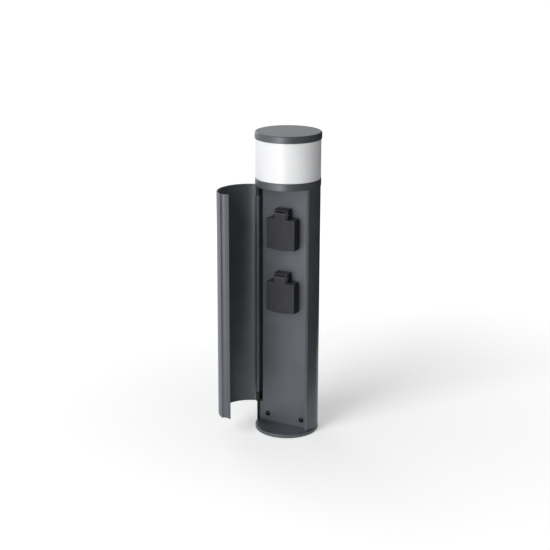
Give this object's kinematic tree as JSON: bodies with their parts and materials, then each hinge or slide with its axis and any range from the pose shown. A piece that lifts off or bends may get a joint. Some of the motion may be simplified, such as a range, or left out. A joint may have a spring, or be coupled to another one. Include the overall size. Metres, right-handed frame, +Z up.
{
  "type": "garden socket post",
  "caption": "Round garden post with sprung-lid sockets behind a hinged half-round door, and a lamp head with an opal diffuser on top.",
  "frame": {"origin": "on the post's axis at the underside of the base plate", "axes": "+X to the right along the front panel, +Y from the panel to the round back, +Z up"},
  "size_m": [0.1534, 0.1622, 0.5311],
  "materials": {
    "anthracite": "satin powder coat, fine texture",
    "black_coat": "satin black coat",
    "black_steel": "black screws, semi-gloss",
    "zinc_steel": "zinc-plated or stainless, satin",
    "brass": "bright, lightly worn",
    "rubber": "matt black rubber",
    "black_plastic": "fine-textured black plastic",
    "beige_plastic": "smooth moulded plastic",
    "white_plastic": "satin white plastic",
    "opal_plastic": "opal white diffusing plastic, satin gloss",
    "board": "white solder-mask board",
    "diode": "yellow phosphor",
    "red_insulation": "soft plastic insulation",
    "brown_insulation": "soft plastic insulation",
    "blue_insulation": "soft plastic insulation",
    "green_insulation": "soft plastic insulation"
  },
  "bodies": {
    "post_frame": {"base_plate": "anthracite", "cable_grommet": "rubber", "terminal_bracket": "zinc_steel", "foot_screws": "black_steel", "foot_nuts": "zinc_steel", "terminal_block": "beige_plastic", "terminal_bars": "brass", "terminal_block_screws": "zinc_steel", "strain_relief": "black_plastic", "strain_relief_screws": "zinc_steel", "earth_lug": "zinc_steel", "earth_screw": "zinc_steel", "post": "anthracite", "lower_hinge_ear": "black_coat", "upper_hinge_ear": "black_coat", "lower_hinge_pin": "zinc_steel", "upper_hinge_pin": "zinc_steel", "collar": "anthracite", "collar_screws": "zinc_steel", "diffuser_gasket": "rubber", "diffuser_ring": "white_plastic", "diffuser": "opal_plastic", "cap": "anthracite", "led_board": "board", "led_chips": "diode", "led_board_screws": "zinc_steel", "led_driver": "white_plastic", "led_driver_screws": "zinc_steel", "led_wires": "red_insulation", "lower_socket_wires": "brown_insulation", "upper_socket_wires": "blue_insulation", "driver_wires": "brown_insulation", "earth_wire": "green_insulation", "lower_socket_body": "black_plastic", "lower_socket_gasket": "rubber", "lower_socket_back": "black_plastic", "lower_socket_sleeves": "brass", "lower_socket_earth_clip": "zinc_steel", "lower_socket_terminal_screws": "zinc_steel", "lower_socket_fixing_screws": "zinc_steel", "lower_lid_pin": "zinc_steel", "lower_lid_spring": "zinc_steel", "upper_socket_body": "black_plastic", "upper_socket_gasket": "rubber", "upper_socket_back": "black_plastic", "upper_socket_sleeves": "brass", "upper_socket_earth_clip": "zinc_steel", "upper_socket_terminal_screws": "zinc_steel", "upper_socket_fixing_screws": "zinc_steel", "upper_lid_pin": "zinc_steel", "upper_lid_spring": "zinc_steel"},
    "door_leaf": {"door": "anthracite", "lower_hinge_bush": "white_plastic", "upper_hinge_bush": "white_plastic"},
    "lower_flap": {"lower_lid": "black_plastic", "lower_lid_seal": "rubber"},
    "upper_flap": {"upper_lid": "black_plastic", "upper_lid_seal": "rubber"}
  },
  "joints": [
    {"name": "door_hinge", "type": "hinge", "parent": "post_frame", "child": "door_leaf", "pos_m": [-0.054, -0.006, 0.2386], "axis": [0, 0, 1], "range_deg": [-15, 39]},
    {"name": "lower_lid_hinge", "type": "hinge", "parent": "post_frame", "child": "lower_flap", "pos_m": [-0.0017, -0.0203, 0.2805], "axis": [-1, 0, 0], "range_deg": [0, 110], "stiffness_Nm_per_rad": 0.03, "springref_deg": -57.3},
    {"name": "upper_lid_hinge", "type": "hinge", "parent": "post_frame", "child": "upper_flap", "pos_m": [-0.0017, -0.0203, 0.392], "axis": [-1, 0, 0], "range_deg": [0, 110], "stiffness_Nm_per_rad": 0.03, "springref_deg": -57.3}
  ]
}
